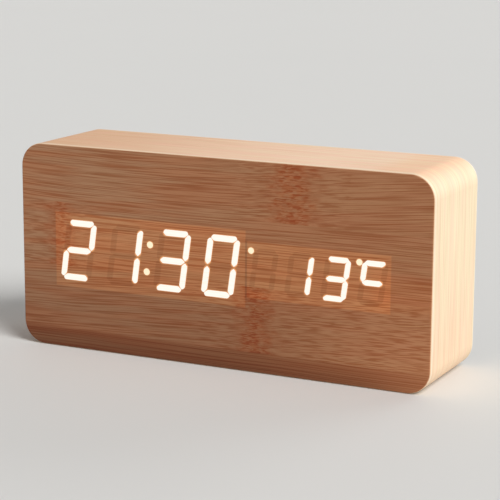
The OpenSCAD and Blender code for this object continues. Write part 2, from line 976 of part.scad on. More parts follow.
module battery_contacts() {
    plate_low_y = cell_y - contact_w / 2;
    color("silver") {
        contact_plate(bay_x0, 0, 1, plate_low_y);
        contact_plate(bay_x0, 2, 3, plate_low_y);
        contact_plate(bay_x1 - contact_t, 1, 2, plate_low_y);
        for (i = [0, cells - 1]) {
            contact_plate(bay_x1 - contact_t, i, i, lead_y - tab_w / 2);
            translate([bay_x1, lead_y - tab_w / 2, tab_z(i) - contact_t / 2])
                cube([tray_wall + tab_out, tab_w, contact_t]);
        }
    }
}

// The wire's middle line: a cone of turns along +X, wide at the plate and narrow at the cell
spring_rings = spring_turns * rings_per_turn;
spring_path = [
    for (i = [0 : spring_rings])
        let (
            share = i / spring_rings,
            r = spring_plate_r + (spring_cell_r - spring_plate_r) * share,
            a = 360 * spring_turns * share
        )
        [spring_wire / 2 + seat_gap / 2 + (spring_l - spring_wire - seat_gap) * share, r * cos(a), r * sin(a)]
];
function unit(v) = v / norm(v);
function spring_heading(i) =
    unit(spring_path[min(i + 1, spring_rings)] - spring_path[max(i - 1, 0)]);
function spring_ring(i) =
    let (
        along = spring_heading(i),
        side = unit(cross(along, [1, 0, 0])),
        up = cross(side, along)
    )
    [for (k = [0 : wire_sides - 1])
        let (a = 360 * k / wire_sides)
        spring_path[i] + spring_wire / 2 * (side * cos(a) + up * sin(a))];
spring_points = [for (i = [0 : spring_rings]) each spring_ring(i)];
function ring_point(i, k) = i * wire_sides + k % wire_sides;
spring_faces = concat(
    [for (k = [1 : wire_sides - 2]) [0, k + 1, k]],
    [for (k = [1 : wire_sides - 2]) [for (p = [0, k, k + 1]) ring_point(spring_rings, p)]],
    [for (i = [0 : spring_rings - 1], k = [0 : wire_sides - 1]) each [
        [ring_point(i, k), ring_point(i, k + 1), ring_point(i + 1, k + 1)],
        [ring_point(i, k), ring_point(i + 1, k + 1), ring_point(i + 1, k)]
    ]]
);
spring_gap = min([
    for (i = [0 : spring_rings], j = [0 : spring_rings])
        if (j - i >= rings_per_turn / 2) norm(spring_path[i] - spring_path[j]) - spring_wire
]);
echo(least_gap_between_spring_turns = spring_gap);

module battery_springs() {
    color("silver")
        for (i = [0 : cells - 1])
            translate([bay_x, cell_y, cell_z(i)])
                rotate(cell_side(i) > 0 ? 0 : 180)
                    translate([-bay_l / 2 + contact_t, 0, 0])
                        polyhedron(spring_points, spring_faces);
}

module battery_leads() {
    lead_x = bay_x1 + tray_wall + tab_out;
    lead_end_x = control_x - control_pcb_w / 2 + lead_reach;
    color("firebrick")
        for (i = [0, cells - 1]) {
            translate([lead_x, lead_y, tab_z(i)])
                rotate([0, 90, 0])
                    cylinder(h = lead_end_x - lead_x, d = lead_wire_d);
            translate([lead_end_x, lead_y, tab_z(i)])
                sphere(d = lead_wire_d);
            rod([lead_end_x, tab_z(i)], lead_y, control_in_y - lead_y, lead_wire_d);
        }
}

module battery_cells() {
    body_l = cell_l - cell_nub_l;
    color("slategray")
        for (i = [0 : cells - 1])
            translate([bay_x, cell_y, cell_z(i)])
                rotate([0, cell_side(i) * 90, 0])
                    translate([0, 0, bay_l / 2 - contact_t - cell_l])
                        rotate_extrude()
                            polygon([
                                [0, 0], [cell_d / 2 - cell_edge, 0], [cell_d / 2, cell_edge],
                                [cell_d / 2, body_l - cell_edge], [cell_d / 2 - cell_edge, body_l],
                                [cell_nub_d / 2, body_l], [cell_nub_d / 2, cell_l], [0, cell_l]
                            ]);
}

module battery_door() {
    door_z0 = bay_z0 + door_gap;
    door_h = bay_h - 2 * door_gap;
    door_x1 = rim_x1 - door_gap;
    color("gray") {
        difference() {
            translate([0, 0, door_z0])
                linear_extrude(door_h) {
                    translate([hinge_x, hinge_y])
                        circle(d = barrel_d);
                    polygon([
                        [hinge_x, door_in_y], [door_x1, door_in_y], [door_x1, cover_out_y - door_edge],
                        [door_x1 - door_edge, cover_out_y], [hinge_x, cover_out_y]
                    ]);
                }
            for (side = [-1, 1])
                translate([bay_x, cover_out_y, mid_z + side * door_h / 2])
                    rotate([45, 0, 0])
                        cube([rim_x1 - rim_x0 + 2 * cut, door_edge * sqrt(2), door_edge * sqrt(2)], center = true);
            for (side = [-1, 1])
                translate([
                    door_x1 - tongue_slot_l,
                    door_in_y - cut,
                    mid_z + side * (hook_w + tongue_slot_w) / 2 - tongue_slot_w / 2
                ])
                    cube([tongue_slot_l + cut, door_t + 2 * cut, tongue_slot_w]);
        }
        translate([hinge_x, hinge_y, door_z0 - pin_l])
            cylinder(h = door_h + 2 * pin_l, d = pin_d);
        translate([door_x1 - hook_t, door_in_y - hook_l, mid_z - hook_w / 2])
            cube([hook_t, hook_l, hook_w]);
        for (i = [1 : cells - 1])
            translate([
                bay_x0 + door_rib_inset,
                door_in_y - door_rib_h,
                (cell_z(i - 1) + cell_z(i) - door_rib_t) / 2
            ])
                cube([door_x1 - tongue_slot_l - bay_x0 - 2 * door_rib_inset, door_rib_h, door_rib_t]);
        for (i = [1 : grips])
            translate([door_x1 - i * grip_pitch, cover_out_y, mid_z - hook_w / 2])
                cube([grip_w, grip_h, hook_w]);
    }
}

case_ring();
front_veneer();
front_board();
rear_cover();
rear_cover_screws();
time_display_shell();
time_display_segments();
temp_display_shell();
temp_display_segments();
display_pins();
display_pcb();
display_spacers();
display_screws();
display_driver_chips();
display_connector();
ribbon_cable();
control_connector();
control_pcb();
control_pcb_screws();
controller_chip();
clock_crystal();
smoothing_capacitor();
buzzer();
microphone();
temperature_sensor();
power_socket_shell();
power_socket_tongue();
switch_housings();
mode_button();
up_button();
down_button();
mode_plunger();
up_plunger();
down_plunger();
battery_tray();
battery_contacts();
battery_springs();
battery_leads();
battery_cells();
battery_door();
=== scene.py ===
import math

import bmesh
import bpy
from mathutils import Matrix, Vector


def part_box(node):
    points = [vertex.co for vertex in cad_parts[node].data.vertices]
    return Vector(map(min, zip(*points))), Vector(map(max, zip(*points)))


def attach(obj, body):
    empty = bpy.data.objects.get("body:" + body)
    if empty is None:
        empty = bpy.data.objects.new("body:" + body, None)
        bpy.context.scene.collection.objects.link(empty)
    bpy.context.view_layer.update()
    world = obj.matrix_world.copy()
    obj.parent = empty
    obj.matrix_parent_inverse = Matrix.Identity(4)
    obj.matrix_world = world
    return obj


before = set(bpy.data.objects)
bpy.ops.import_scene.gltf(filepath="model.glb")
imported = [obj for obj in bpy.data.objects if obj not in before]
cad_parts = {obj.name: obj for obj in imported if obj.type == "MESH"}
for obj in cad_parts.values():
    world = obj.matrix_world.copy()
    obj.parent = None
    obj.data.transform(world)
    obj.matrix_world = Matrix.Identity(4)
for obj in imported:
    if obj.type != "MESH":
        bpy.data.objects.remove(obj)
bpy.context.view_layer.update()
mm = 0.001
print("frame loaded:", len(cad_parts), "nodes")


def tone(red, green, blue):
    # a paint program's 0 to 255 to Blender's linear colour
    def linear(part):
        part /= 255
        return part / 12.92 if part <= 0.04045 else ((part + 0.055) / 1.055) ** 2.4
    return (linear(red), linear(green), linear(blue), 1)


def blendRange(ends, share):
    first, last = ends
    return first + (last - first) * share


class Wire:
    # a node's output that can stand in plain arithmetic
    def __init__(self, finish, socket):
        self.finish = finish
        self.socket = socket

    def maths(self, operation, *values):
        return self.finish.node("ShaderNodeMath", {"operation": operation}, dict(enumerate(values)))

    def other(self, name):
        return Wire(self.finish, self.socket.node.outputs[name])

    def __add__(self, other):
        return self.maths("ADD", self, other)

    def __radd__(self, other):
        return self.maths("ADD", other, self)

    def __sub__(self, other):
        return self.maths("SUBTRACT", self, other)

    def __rsub__(self, other):
        return self.maths("SUBTRACT", other, self)

    def __mul__(self, other):
        return self.maths("MULTIPLY", self, other)

    def __rmul__(self, other):
        return self.maths("MULTIPLY", other, self)

    def __truediv__(self, other):
        return self.maths("DIVIDE", self, other)

    def __abs__(self):
        return self.maths("ABSOLUTE", self)

    def floor(self):
        return self.maths("FLOOR", self)

    def fract(self):
        return self.maths("FRACT", self)

    def remainder(self, other):
        return self.maths("MODULO", self, other)

    def root(self):
        return self.maths("SQRT", self)

    def cosine(self):
        return self.maths("COSINE", self)

    def atLeast(self, other):
        return self.maths("MAXIMUM", self, other)

    def atMost(self, other):
        return self.maths("MINIMUM", self, other)

    def fade(self, start, end):
        # 0 up to start, 1 from end, smooth between
        return self.finish.node("ShaderNodeMapRange", {"interpolation_type": "SMOOTHSTEP"},
                                {0: self, 1: start, 2: end})


class Finish:
    # a material under construction; x, y, z are the object's own millimetres
    def __init__(self, name):
        self.material = bpy.data.materials.new(name)
        self.material.use_nodes = True
        self.tree = self.material.node_tree
        self.shader = self.tree.nodes["Principled BSDF"]
        place = self.node("ShaderNodeTexCoord", {}, {}, "Object")
        self.spot = self.node("ShaderNodeVectorMath", {"operation": "SCALE"}, {0: place, "Scale": 1 / mm})
        self.x = self.node("ShaderNodeSeparateXYZ", {}, {0: self.spot})
        self.y = self.x.other("Y")
        self.z = self.x.other("Z")

    def node(self, kind, settings, sockets, output=0):
        made = self.tree.nodes.new(kind)
        for name, value in settings.items():
            setattr(made, name, value)
        self.feed(made, sockets)
        return Wire(self, made.outputs[output])

    def feed(self, node, sockets):
        for name, value in sockets.items():
            if isinstance(value, Wire):
                self.tree.links.new(value.socket, node.inputs[name])
            else:
                node.inputs[name].default_value = value

    def paint(self, sockets):
        self.feed(self.shader, sockets)
        return self.material

    def at(self, x, y, z=0.0):
        return self.node("ShaderNodeCombineXYZ", {}, {0: x, 1: y, 2: z})

    def noise(self, vector, scale=1.0, detail=2.0, distortion=0.0):
        return self.node("ShaderNodeTexNoise", {},
                         {"Vector": vector, "Scale": scale, "Detail": detail, "Distortion": distortion})

    def patches(self, across, up, size, detail=1.0, distortion=0.0):
        # noise in patches of about this length and height
        length, height = size
        return self.noise(self.at(across / length, up / height), 1.0, detail, distortion)

    def chance(self, vector):
        return self.node("ShaderNodeTexWhiteNoise", {}, {"Vector": vector})

    def mix(self, amount, first, second, blend="MIX"):
        return self.node("ShaderNodeMix", {"data_type": "RGBA", "blend_type": blend},
                         {0: amount, 6: first, 7: second}, 2)

    def bump(self, height, depth, strength):
        return self.node("ShaderNodeBump", {},
                         {"Strength": strength, "Distance": depth * mm, "Height": height})


def dress(material, *names):
    for name in names:
        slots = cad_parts[name].data.materials
        slots.clear()
        slots.append(material)


def dressWhere(material, name, test):
    # a second finish on the faces of one node that pass the test, in millimetres
    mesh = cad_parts[name].data
    mesh.materials.append(material)
    for face in mesh.polygons:
        if test(face.center / mm, face.normal):
            face.material_index = len(mesh.materials) - 1


# The two displays, with the values of the solids behind the veneer

lean = math.tan(math.radians(8))
barPlaces = {  # in half widths and half heights, and whether it stands upright
    "a": (0, 1, False), "b": (1, 0.5, True), "c": (1, -0.5, True), "d": (0, -1, False),
    "e": (-1, -0.5, True), "f": (-1, 0.5, True), "g": (0, 0, False),
}
barMeets = {  # the bars met at a corner by the left or lower end, and by the right or upper one
    "a": ("f", "b"), "b": ("", "a"), "c": ("d", ""), "d": ("e", "c"),
    "e": ("d", ""), "f": ("", "a"), "g": ("ef", "bc"),
}
timeDisplay = {
    "shell": "time_display_shell", "x": -25.6, "z": 34.3, "pitch": 18,
    "height": 18.8, "width": 9.7, "bar": 2.2, "gap": 0.5,
    "spread": (0.3, 0.05),  # how far light reaches past a bar's end, at a lit corner and elsewhere
    "lit": ["abged", "bc", "abgcd", "abcdef"],
    "dots": [(4.65 * lean, 4.65), (-4.65 * lean, -4.65)], "dotSize": 2.35,  # from the display's middle
}
tempDisplay = {
    "shell": "temp_display_shell", "x": 36.05, "z": 34.3, "pitch": 12.65,
    "height": 12.7, "width": 7, "bar": 1.9, "gap": 0.25,
    "spread": (0.45, 0.1),
    "lit": ["", "bc", "abgcd", "afg"],
    "dots": [(-23.575, 6.35), (14.375, 6.35)], "dotSize": 2.15,
}


def digitCentres(display):
    return [display["x"] + (place - 1.5) * display["pitch"] for place in range(4)]


def dotPlaces(display):
    return [(display["x"] + x, display["z"] + z) for x, z in display["dots"]]


def barLength(display, upright):
    return (display["height"] / 2 if upright else display["width"]) - display["gap"]


def dotDistance(made, display):
    # from the rim of the nearest dot, negative inside it
    nearest = None
    for x, z in dotPlaces(display):
        across, up = made.x - x, made.z - z
        away = (across * across + up * up).root() - display["dotSize"] / 2
        nearest = away if nearest is None else nearest.atMost(away)
    return nearest


def displayMasks(made, display):
    # distances from the edges of what is lit, of the dark bars and of the window
    v = made.z - display["z"]
    u = made.x - v * lean
    halfHeight, halfWidth = display["height"] / 2, display["width"] / 2
    capLevel = (barLength(display, False) - display["bar"]) / 2
    capUpright = (barLength(display, True) - display["bar"]) / 2

    def squared(value):
        return value * value
    across = {step: squared(v - step * halfHeight) for step in (1, 0, -1)}
    along = {step: squared((abs(v - step * halfHeight) - capUpright).atLeast(0)) for step in (0.5, -0.5)}
    nearest = {True: None, False: None}
    for centre, letters in zip(digitCentres(display), display["lit"]):
        side = {step: squared(u - (centre + step * halfWidth)) for step in (-1, 1)}
        level = squared((abs(u - centre) - capLevel).atLeast(0))
        for letter, (column, row, upright) in barPlaces.items():
            reach = side[column] + along[row] if upright else level + across[row]
            lit = letter in letters
            nearest[lit] = reach if nearest[lit] is None else nearest[lit].atMost(reach)
    shine = (nearest[True].root() - display["bar"] / 2).atMost(dotDistance(made, display))
    dark = nearest[False].root() - display["bar"] / 2
    low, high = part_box(display["shell"])
    window = (abs(made.x - (low.x + high.x) / 2 / mm) - (high.x - low.x) / 2 / mm).atLeast(
        abs(made.z - (low.z + high.z) / 2 / mm) - (high.z - low.z) / 2 / mm)
    return shine, dark, window


# Bamboo. A Size is the length and height of a patch of noise, a Cut the levels between which it fades in

bambooSheet = {
    "tan": tone(183, 136, 101), "tanRight": tone(186, 132, 93), "tanRun": (-60, 70),
    "russet": tone(186, 128, 90), "russetSize": (45, 4), "russetCut": (0.35, 0.65),
    "stripStart": 6.6, "stripHeight": 22.0, "stripShift": 57,
    "strips": [  # upwards from the second: the grain's rise and bend, the knuckle, the run of dashes
        {"rise": 0.045, "bend": 0, "knuckle": 14, "reach": 7, "depth": 1.0, "dashes": (-6, 75)},
        {"rise": 0.01, "bend": 0, "knuckle": -59.5, "reach": 6, "depth": 0.85, "dashes": (-72, -50)},
        {"rise": 0.035, "bend": 0.00054, "knuckle": 27, "reach": 9, "depth": 1.0, "dashes": (10, 44)},
    ],
    "driftSize": (60, 30), "driftStep": 3, "driftReach": 1.2, "raggedSize": (4.5, 3),
    "streak": (0.75, 0.56, 0.44, 1), "streakSize": (30, 0.45), "lowStreak": 90, "streakCut": (0.43, 0.62),
    "shortStreakSize": (7.5, 0.45), "groupSize": (30, 2), "groupCut": (0.25, 0.6), "groupLeast": 0.7,
    "fibre": (0.86, 0.79, 0.72, 1), "fibreSize": (9, 0.33), "lowFibre": 49, "fibreCut": (0.4, 0.66),
    "fibreShare": 0.6,
    "knuckle": (0.78, 0.48, 0.32, 1), "knuckleEdge": (0, 1.4), "knuckleRagged": 2, "knuckleCalm": 0.7,
    "dashSize": (3, 0.45), "dashCut": (0.46, 0.58), "dashBend": 0.6, "dashEdge": (-4, 6), "dashRagged": 16,
    "flush": (0.97, 0.74, 0.60, 1), "flushSize": (2.6, 1.7), "flushCut": (0.35, 0.6), "flushLeast": 0.3,
    "lowStripToneAndShade": (0.74, 0.60, 0.52, 1), "lowEdgeSize": (30, 1.5), "lowEdgeReach": 1.5, "lowEdgeWidth": 1.6,
    "paintedLightEnd": (45, 75), "lowStripEase": 0.5, "lowPaintedShadeEase": 0.8,
    "lowPaintedShade": (0.72, 0.72, 0.72, 1), "lowPaintedShadeRun": (-1, 7),
    "paintedShadeLowLeft": (0.78, 0.76, 0.76, 1), "paintedLightLowRight": (1.2, 1.2, 1.2, 1), "paintedSlantRun": (0, 85), "paintedSlantFade": (8, 42),
    "blushAndLedGlow": (1.08, 0.95, 0.86, 1), "ledGlowRun": (52, 60), "ledGlowMiddle": 31.5, "ledGlowReach": (3.5, 8),
    "window": (1.32, 1.2, 1.04, 1), "windowEdge": (-0.3, 0.3),
    "ghost": (0.86, 0.84, 0.82, 1), "ghostEdge": (-0.25, 0.25),
    "halo": tone(255, 186, 116), "haloEdge": (-0.1, 0.5), "haloStrength": 0.42,
    "seam": (0.84, 0.82, 0.80, 1), "seamEdge": (0.2, 0.6), "seamReach": (9, 11),
    "edge": tone(240, 208, 172), "frontEdge": (-19.95, -19.7),
    "rough": (0.5, 0.62), "specular": 0.25, "grooves": (0.6, 0.4), "grooveDepth": 0.02, "grooveStrength": 0.5,
}
caseWood = {
    "pale": tone(246, 230, 194), "driftSize": (40, 40), "driftReach": 1.2,
    "line": tone(232, 200, 160), "lineSize": (35, 0.5), "lineCut": (0.42, 0.68), "lineShare": 0.65,
    "blushAndLedGlow": tone(248, 220, 188), "bandSize": (40, 2.6), "bandCut": (0.35, 0.7),
    "topLeftToneAndShade": (0.83, 0.61, 0.53, 1), "topRightToneAndShade": (1.08, 0.94, 0.97, 1), "topShadeRun": (-75, 40),
    "topEndToneAndShade": (1.0, 0.95, 0.88, 1), "topEndShadeRun": (50, 60),
    "topShadeFade": (63, 69.5), "leftWallShadeFade": (-75, -67), "leftWallShadeShare": 0.8,
    "footPaintedShade": (1.0, 0.92, 0.92, 1), "footPaintedShadeFade": (0, 50),
    "rim": tone(253, 238, 214), "rimWidth": 1.4, "rimShare": 0.55,
    "rough": (0.5, 0.65), "specular": 0.25, "grooveDepth": 0.015, "grooveStrength": 0.4,
}


def makeFrontVeneer(look):
    made = Finish("front_bamboo")
    strip = ((made.z - look["stripStart"]) / look["stripHeight"]).floor()
    lowest = (0 - strip).atLeast(0)
    driftLength, driftHeight = look["driftSize"]
    drift = made.at(made.x / driftLength, made.z / driftHeight, strip * look["driftStep"])
    grain = made.z + made.noise(drift, detail=1) * look["driftReach"]
    ragged = made.patches(made.x, made.z, look["raggedSize"], 2) - 0.5
    knuckle, near = 0.0, 0.0
    for index, one in enumerate(look["strips"]):
        here = 1 - abs(strip - index).atMost(1)
        grain = grain - (made.x * one["rise"] + made.x * made.x * one["bend"]) * here
        away = abs(made.x - one["knuckle"]) / one["reach"] + ragged * look["knuckleRagged"]
        knuckle = knuckle + here * (1 - away.fade(*look["knuckleEdge"])) * one["depth"]
        first, last = one["dashes"]
        past = abs(made.x - (first + last) / 2) - (last - first) / 2 + ragged * look["dashRagged"]
        near = near + here * (1 - past.fade(*look["dashEdge"]))
    along = made.x + strip * look["stripShift"]

    def drawnOut(size, lowLength):
        # lines run longer in the lowest strip
        length, height = size
        return lowest * (lowLength - length) + length, height
    longLines = made.patches(along, grain, drawnOut(look["streakSize"], look["lowStreak"]))
    shortLines = made.patches(along, grain, look["shortStreakSize"])
    groups = made.patches(along, grain, look["groupSize"]).fade(*look["groupCut"])
    streaks = (longLines * (1 - near) + shortLines * near).fade(*look["streakCut"])
    streaks = streaks * blendRange((look["groupLeast"], 1), groups)
    fibres = made.patches(along, grain, drawnOut(look["fibreSize"], look["lowFibre"]), 2)
    fibres = fibres.fade(*look["fibreCut"])
    dashes = made.patches(along, grain, look["dashSize"], 2, look["dashBend"])
    dashes = dashes.fade(*look["dashCut"]) * knuckle
    blotch = made.patches(made.x, made.z, look["flushSize"]).fade(*look["flushCut"])
    broad = made.patches(along, grain, look["russetSize"], 2).fade(*look["russetCut"])

    tan = made.mix(made.x.fade(*look["tanRun"]), look["tan"], look["tanRight"])
    colour = made.mix(broad, tan, look["russet"])
    # the lowest strip: a redder strip of wood, made darker still with painted shade at the bottom; towards
    # the right end it eases, so that end is painted lighter
    lowEdge = made.z + made.patches(made.x, grain, look["lowEdgeSize"]) * look["lowEdgeReach"]
    below = 1 - lowEdge.fade(look["stripStart"], look["stripStart"] + look["lowEdgeWidth"])
    paintedLightEnd = made.x.fade(*look["paintedLightEnd"])
    colour = made.mix(below * (1 - paintedLightEnd * look["lowStripEase"]), colour, look["lowStripToneAndShade"], "MULTIPLY")
    # painted shade: the front darker over its lowest millimetres, less so at the right end
    paintedBottomShade = (1 - made.z.fade(*look["lowPaintedShadeRun"])) * (1 - paintedLightEnd * look["lowPaintedShadeEase"])
    colour = made.mix(paintedBottomShade, colour, look["lowPaintedShade"], "MULTIPLY")
    # painted light and shade: the lower front darker to the left and lighter to the right, fading out upwards
    paintedLightSlant = made.mix(made.x.fade(*look["paintedSlantRun"]), look["paintedShadeLowLeft"], look["paintedLightLowRight"])
    colour = made.mix(1 - made.z.fade(*look["paintedSlantFade"]), colour, paintedLightSlant, "MULTIPLY")
    # painted light: a warm glow of the displays' light through the veneer, at the right end of the
    # temperature display
    blushAndLedGlow = made.x.fade(*look["ledGlowRun"]) * (1 - abs(made.z - look["ledGlowMiddle"]).fade(*look["ledGlowReach"]))
    colour = made.mix(blushAndLedGlow, colour, look["blushAndLedGlow"], "MULTIPLY")
    flushed = knuckle * blendRange((look["flushLeast"], 1), blotch)
    colour = made.mix(flushed, colour, look["flush"], "MULTIPLY")
    colour = made.mix(streaks * (1 - knuckle * look["knuckleCalm"]), colour, look["streak"], "MULTIPLY")
    colour = made.mix(fibres * look["fibreShare"], colour, look["fibre"], "MULTIPLY")
    colour = made.mix(dashes, colour, look["knuckle"], "MULTIPLY")

    front = 1 - made.y.fade(*look["frontEdge"])
    glow = None
    for display in (timeDisplay, tempDisplay):
        shine, dark, window = displayMasks(made, display)
        inside = (1 - window.fade(*look["windowEdge"])) * front
        colour = made.mix(inside, colour, look["window"], "MULTIPLY")
        unlit = (1 - dark.fade(*look["ghostEdge"])) * front
        colour = made.mix(unlit, colour, look["ghost"], "MULTIPLY")
        halo = (1 - shine.fade(*look["haloEdge"])) * front
        glow = halo if glow is None else glow.atLeast(halo)
    between = (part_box("time_display_shell")[1].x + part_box("temp_display_shell")[0].x) / 2 / mm
    seam = 1 - abs(made.x - between).fade(*look["seamEdge"])
    seam = seam * (1 - abs(made.z - timeDisplay["z"]).fade(*look["seamReach"])) * front
    colour = made.mix(seam, colour, look["seam"], "MULTIPLY")
    colour = made.mix(front, look["edge"], colour)
    streakGroove, fibreGroove = look["grooves"]
    relief = streaks * streakGroove + fibres * fibreGroove + dashes
    return made.paint({
        "Base Color": colour, "Roughness": blendRange(look["rough"], fibres),
        "Specular IOR Level": look["specular"],
        "Emission Color": made.mix(glow * glow, (0, 0, 0, 1), look["halo"]),
        "Emission Strength": look["haloStrength"],
        "Normal": made.bump(relief, -look["grooveDepth"], look["grooveStrength"]),
    })


def makeCaseWood(look):
    made = Finish("case_bamboo")
    ring = made.y + made.patches(made.x, made.z, look["driftSize"]) * look["driftReach"]

    def layers(size):
        # long along the walls, thin from front to back
        length, thickness = size
        return made.noise(made.at(made.x / length, ring / thickness, made.z / length), detail=2)
    lines = layers(look["lineSize"]).fade(*look["lineCut"])
    bands = layers(look["bandSize"]).fade(*look["bandCut"])
    colour = made.mix(bands, look["pale"], look["blushAndLedGlow"])
    colour = made.mix(lines * look["lineShare"], colour, look["line"])
    # the top, and the left wall at a lesser share, tinted peach and darker towards the left: partly the
    # wood's tone, partly painted shade on the top
    toneAndPaintedShade = made.mix(made.x.fade(*look["topShadeRun"]), look["topLeftToneAndShade"], look["topRightToneAndShade"])
    toneAndPaintedShade = made.mix(made.x.fade(*look["topEndShadeRun"]), toneAndPaintedShade, look["topEndToneAndShade"], "MULTIPLY")
    paintedLeftWallShade = (1 - made.x.fade(*look["leftWallShadeFade"])) * look["leftWallShadeShare"]
    colour = made.mix(made.z.fade(*look["topShadeFade"]).atLeast(paintedLeftWallShade), colour, toneAndPaintedShade, "MULTIPLY")
    # painted shade: the walls a little darker and pinker towards the bottom
    colour = made.mix(1 - made.z.fade(*look["footPaintedShadeFade"]), colour, look["footPaintedShade"], "MULTIPLY")
    # painted highlight: a pale line along the ring's front and back edges, where eased edges would catch the
    # light
    low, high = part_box("case_ring")
    reach = (high.y - low.y) / 2 / mm
    fromMiddle = abs(made.y - (low.y + high.y) / 2 / mm)
    rim = fromMiddle.fade(reach - look["rimWidth"], reach - look["rimWidth"] / 2)
    colour = made.mix(rim * look["rimShare"], colour, look["rim"])
    return made.paint({
        "Base Color": colour, "Roughness": blendRange(look["rough"], lines),
        "Specular IOR Level": look["specular"],
        "Normal": made.bump(lines, -look["grooveDepth"], look["grooveStrength"]),
    })


dress(makeFrontVeneer(bambooSheet), "front_veneer")
dress(makeCaseWood(caseWood), "case_ring")
print("bamboo laid")


# Plastics, resins and boards: two tones in clouds, a fine grain, and its bump

mouldings = {
    "black_moulding": {
        "tones": (tone(24, 24, 25), tone(34, 34, 35)), "cloud": 9, "grain": 0.28, "depth": 0.03,
        "rough": (0.46, 0.62), "nodes": ["rear_cover", "battery_tray", "battery_door"],
    },
    "key_moulding": {
        "tones": (tone(44, 44, 46), tone(54, 54, 56)), "cloud": 5, "grain": 0.2, "depth": 0.012,
        "rough": (0.34, 0.46), "nodes": ["mode_button", "up_button", "down_button"],
    },
    "plunger_moulding": {
        "tones": (tone(222, 220, 212), tone(236, 234, 228)), "cloud": 3, "grain": 0.2, "depth": 0.01,
        "rough": (0.36, 0.5), "nodes": ["mode_plunger", "up_plunger", "down_plunger"],
    },
    "reflector_moulding": {
        "tones": (tone(206, 206, 202), tone(222, 222, 218)), "cloud": 8, "grain": 0.3, "depth": 0.02,
        "rough": (0.45, 0.6), "nodes": ["time_display_shell", "temp_display_shell"],
    },
    "milky_resin": {
        "tones": (tone(246, 240, 222), tone(252, 248, 236)), "cloud": 2.5, "grain": 0.25, "depth": 0.008,
        "rough": (0.2, 0.34), "nodes": ["time_display_segments", "temp_display_segments"],
    },
    "raw_fibreboard": {
        "tones": (tone(172, 138, 98), tone(196, 162, 120)), "cloud": 3, "grain": 0.35, "depth": 0.06,
        "rough": (0.75, 0.9), "nodes": ["front_board"],
    },
    "moulded_epoxy": {
        "tones": (tone(30, 30, 31), tone(42, 42, 43)), "cloud": 2, "grain": 0.12, "depth": 0.015,
        "rough": (0.5, 0.68),
        "nodes": ["controller_chip", "display_driver_chips", "buzzer", "power_socket_tongue",
                  "switch_housings"],
    },
    "ivory_moulding": {
        "tones": (tone(232, 224, 200), tone(242, 236, 216)), "cloud": 4, "grain": 0.2, "depth": 0.012,
        "rough": (0.4, 0.55), "nodes": ["display_connector", "control_connector"],
    },
    "dipped_resin": {
        "tones": (tone(118, 64, 36), tone(146, 84, 48)), "cloud": 1.2, "grain": 0.3, "depth": 0.01,
        "rough": (0.16, 0.3), "nodes": ["temperature_sensor"],
    },
    "red_insulation": {
        "tones": (tone(168, 34, 30), tone(188, 44, 38)), "cloud": 2, "grain": 0.15, "depth": 0.01,
        "rough": (0.4, 0.55), "nodes": ["battery_leads"],
    },
    "black_insulation": {  # the second lead's faces get it below
        "tones": (tone(30, 30, 30), tone(42, 42, 42)), "cloud": 2, "grain": 0.15, "depth": 0.01,
        "rough": (0.4, 0.55), "nodes": [],
    },
}
mouldedSkin = {"cloudCut": (0.3, 0.7), "grainShare": 0.3, "strength": 0.6}


def makeMoulding(name, look, skin):
    made = Finish(name)
    cloud = made.noise(made.spot, 1 / look["cloud"], 3).fade(*skin["cloudCut"])
    grain = made.noise(made.spot, 1 / look["grain"], 2)
    mottle = cloud * (1 - skin["grainShare"]) + grain * skin["grainShare"]
    return made.paint({
        "Base Color": made.mix(mottle, *look["tones"]), "Roughness": blendRange(look["rough"], grain),
        "Normal": made.bump(grain, look["depth"], skin["strength"]),
    })


moulded = {name: makeMoulding(name, look, mouldedSkin) for name, look in mouldings.items()}
for name, look in mouldings.items():
    dress(moulded[name], *look["nodes"])
print("mouldings dressed")


# Metals: a worn tone, and fine lines drawn along one axis

metals = {
    "tinned_plate": {
        "tones": (tone(196, 196, 194), tone(222, 222, 220)), "lines": (0.15, 2.5, 0.6), "rough": (0.2, 0.36),
        "nodes": ["display_pins", "clock_crystal", "microphone", "power_socket_shell", "battery_contacts",
                  "battery_springs"],
    },
    "zinc_steel": {
        "tones": (tone(188, 190, 192), tone(212, 214, 216)), "lines": (0.3, 0.3, 0.3), "rough": (0.24, 0.4),
        "nodes": ["display_screws", "control_pcb_screws"],
    },
    "blackened_steel": {
        "tones": (tone(52, 52, 54), tone(74, 74, 76)), "lines": (0.3, 0.3, 0.3), "rough": (0.34, 0.5),
        "nodes": ["rear_cover_screws"],
    },
    "turned_brass": {
        "tones": (tone(200, 168, 98), tone(220, 190, 122)), "lines": (3.0, 0.12, 3.0), "rough": (0.2, 0.34),
        "nodes": ["display_spacers"],
    },
    "drawn_can": {
        "tones": (tone(190, 192, 196), tone(212, 214, 218)), "lines": (0.4, 3.0, 0.4), "rough": (0.26, 0.4),
        "nodes": ["smoothing_capacitor"],
    },
}
metalSkin = {"cloud": 2.5, "cloudCut": (0.3, 0.7), "lineShare": 0.5, "lineDepth": 0.006, "strength": 0.4}


def makeMetal(name, look, skin):
    made = Finish(name)
    wide, deep, tall = look["lines"]
    drawn = made.noise(made.at(made.x / wide, made.y / deep, made.z / tall), detail=2)
    cloud = made.noise(made.spot, 1 / skin["cloud"], 2).fade(*skin["cloudCut"])
    worn = cloud * (1 - skin["lineShare"]) + drawn * skin["lineShare"]
    return made.paint({
        "Base Color": made.mix(worn, *look["tones"]), "Metallic": 1.0,
        "Roughness": blendRange(look["rough"], drawn),
        "Normal": made.bump(drawn, skin["lineDepth"], skin["strength"]),
    })


metal = {name: makeMetal(name, look, metalSkin) for name, look in metals.items()}
for name, look in metals.items():
    dress(metal[name], *look["nodes"])
print("metals dressed")


# Circuit boards: copper runs under the solder mask, tinned pads on a grid

